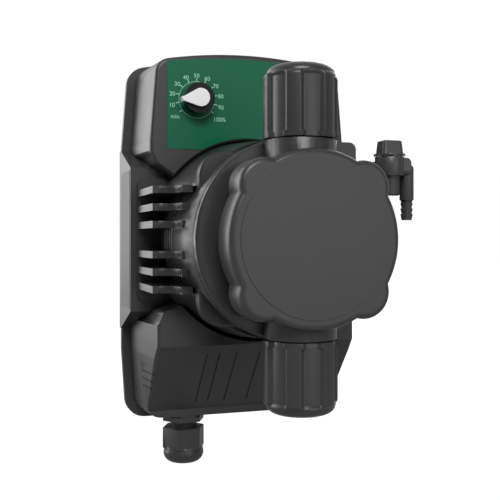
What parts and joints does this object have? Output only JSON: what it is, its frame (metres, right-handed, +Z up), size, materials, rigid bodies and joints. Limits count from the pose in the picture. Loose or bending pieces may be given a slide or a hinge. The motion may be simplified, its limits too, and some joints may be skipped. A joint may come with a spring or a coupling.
{
  "type": "solenoid diaphragm metering pump",
  "caption": "Wall-mounted solenoid dosing pump: arched casing with green control panel and dial, finned solenoid housing, scalloped head cover, ribbed tube nuts, bleed valve and cable gland.",
  "frame": {"origin": "centre of the wall plate's back face, level with the pump axis", "axes": "+Y points into the wall, +Z up, +X to the right of someone who faces the pump"},
  "size_m": [0.1336, 0.153, 0.2408],
  "materials": {
    "casing": "fine matt texture",
    "cover": "fine matt texture",
    "pad": "matt",
    "seal_rubber": "matt",
    "steel": "brushed",
    "label": "satin film with pale printing",
    "knob": "satin",
    "cap_white": "gloss",
    "component": "satin",
    "board_green": "gloss lacquer",
    "terminal": "satin",
    "housing": "cast, painted satin black",
    "iron": "turned",
    "bobbin": "natural nylon",
    "copper": "lacquered wire",
    "bronze": "sintered",
    "diaphragm": "smooth white facing",
    "head": "satin",
    "head_cover": "fine matt texture",
    "valve": "satin",
    "ceramic": "polished",
    "nut": "satin",
    "bleed": "satin",
    "gland": "satin"
  },
  "bodies": {
    "housing": {"wall_plate": "casing", "rear_casing": "casing", "side_pads": "pad", "casing_seal": "seal_rubber", "casing_screws": "steel", "control_cover": "cover", "terminal_cover": "cover", "control_label": "label", "potentiometer": "component", "circuit_board": "board_green", "board_components": "component", "board_screws": "steel", "terminal_block": "terminal", "solenoid_housing": "housing", "housing_screws": "steel", "yoke_plate": "iron", "coil_bobbin": "bobbin", "coil_winding": "copper", "pole_core": "iron", "guide_bush": "bronze", "return_spring": "steel", "plunger_bumper": "seal_rubber", "diaphragm": "diaphragm", "pump_head": "head", "head_screws": "steel", "head_cover": "head_cover", "suction_valve_body": "valve", "suction_valve_seat": "seal_rubber", "discharge_valve_body": "valve", "discharge_valve_seat": "seal_rubber", "discharge_valve_seal": "seal_rubber", "suction_valve_seal": "seal_rubber", "discharge_tube_cone": "valve", "suction_tube_cone": "valve", "bleed_valve_body": "bleed", "gland_body": "gland", "gland_seal": "seal_rubber"},
    "dial": {"dial_knob": "knob", "knob_pointer_cap": "cap_white", "pot_shaft": "steel"},
    "plunger_set": {"plunger": "iron", "push_rod": "steel", "diaphragm_insert": "steel"},
    "suction_ball": {"suction_ball": "ceramic"},
    "discharge_ball": {"discharge_ball": "ceramic"},
    "suction_nut": {"suction_nut": "nut"},
    "discharge_nut": {"discharge_nut": "nut"},
    "bleed_knob": {"bleed_knob": "bleed"},
    "gland_nut": {"gland_nut": "gland"}
  },
  "joints": [
    {"name": "dial_turn", "type": "hinge", "parent": "housing", "child": "dial", "pos_m": [-0.0318, -0.054, 0.0782], "axis": [0, -1, 0], "range_deg": [-223, 29]},
    {"name": "plunger_stroke", "type": "slide", "parent": "housing", "child": "plunger_set", "axis": [0, -1, 0], "range_m": [0, 0.00125], "stiffness_N_per_m": 6000, "springref_m": -0.0015, "deforming": ["return_spring", "diaphragm"]},
    {"name": "suction_ball_lift", "type": "slide", "parent": "housing", "child": "suction_ball", "axis": [0, 0, 1], "range_m": [0, 0.0012]},
    {"name": "discharge_ball_lift", "type": "slide", "parent": "housing", "child": "discharge_ball", "axis": [0, 0, 1], "range_m": [0, 0.0012]},
    {"name": "suction_nut_turn", "type": "hinge", "parent": "housing", "child": "suction_nut", "pos_m": [0, -0.131, -0.06], "axis": [0, 0, -1], "range_deg": [0, 360]},
    {"name": "discharge_nut_turn", "type": "hinge", "parent": "housing", "child": "discharge_nut", "pos_m": [0, -0.131, 0.06], "axis": [0, 0, 1], "range_deg": [0, 360]},
    {"name": "bleed_knob_turn", "type": "hinge", "parent": "housing", "child": "bleed_knob", "pos_m": [0.0516, -0.124, 0.045], "axis": [0, 0, 1], "range_deg": [0, 180]},
    {"name": "gland_nut_turn", "type": "hinge", "parent": "housing", "child": "gland_nut", "pos_m": [-0.0325, -0.0255, -0.116], "axis": [0, 0, -1], "range_deg": [0, 360]}
  ]
}
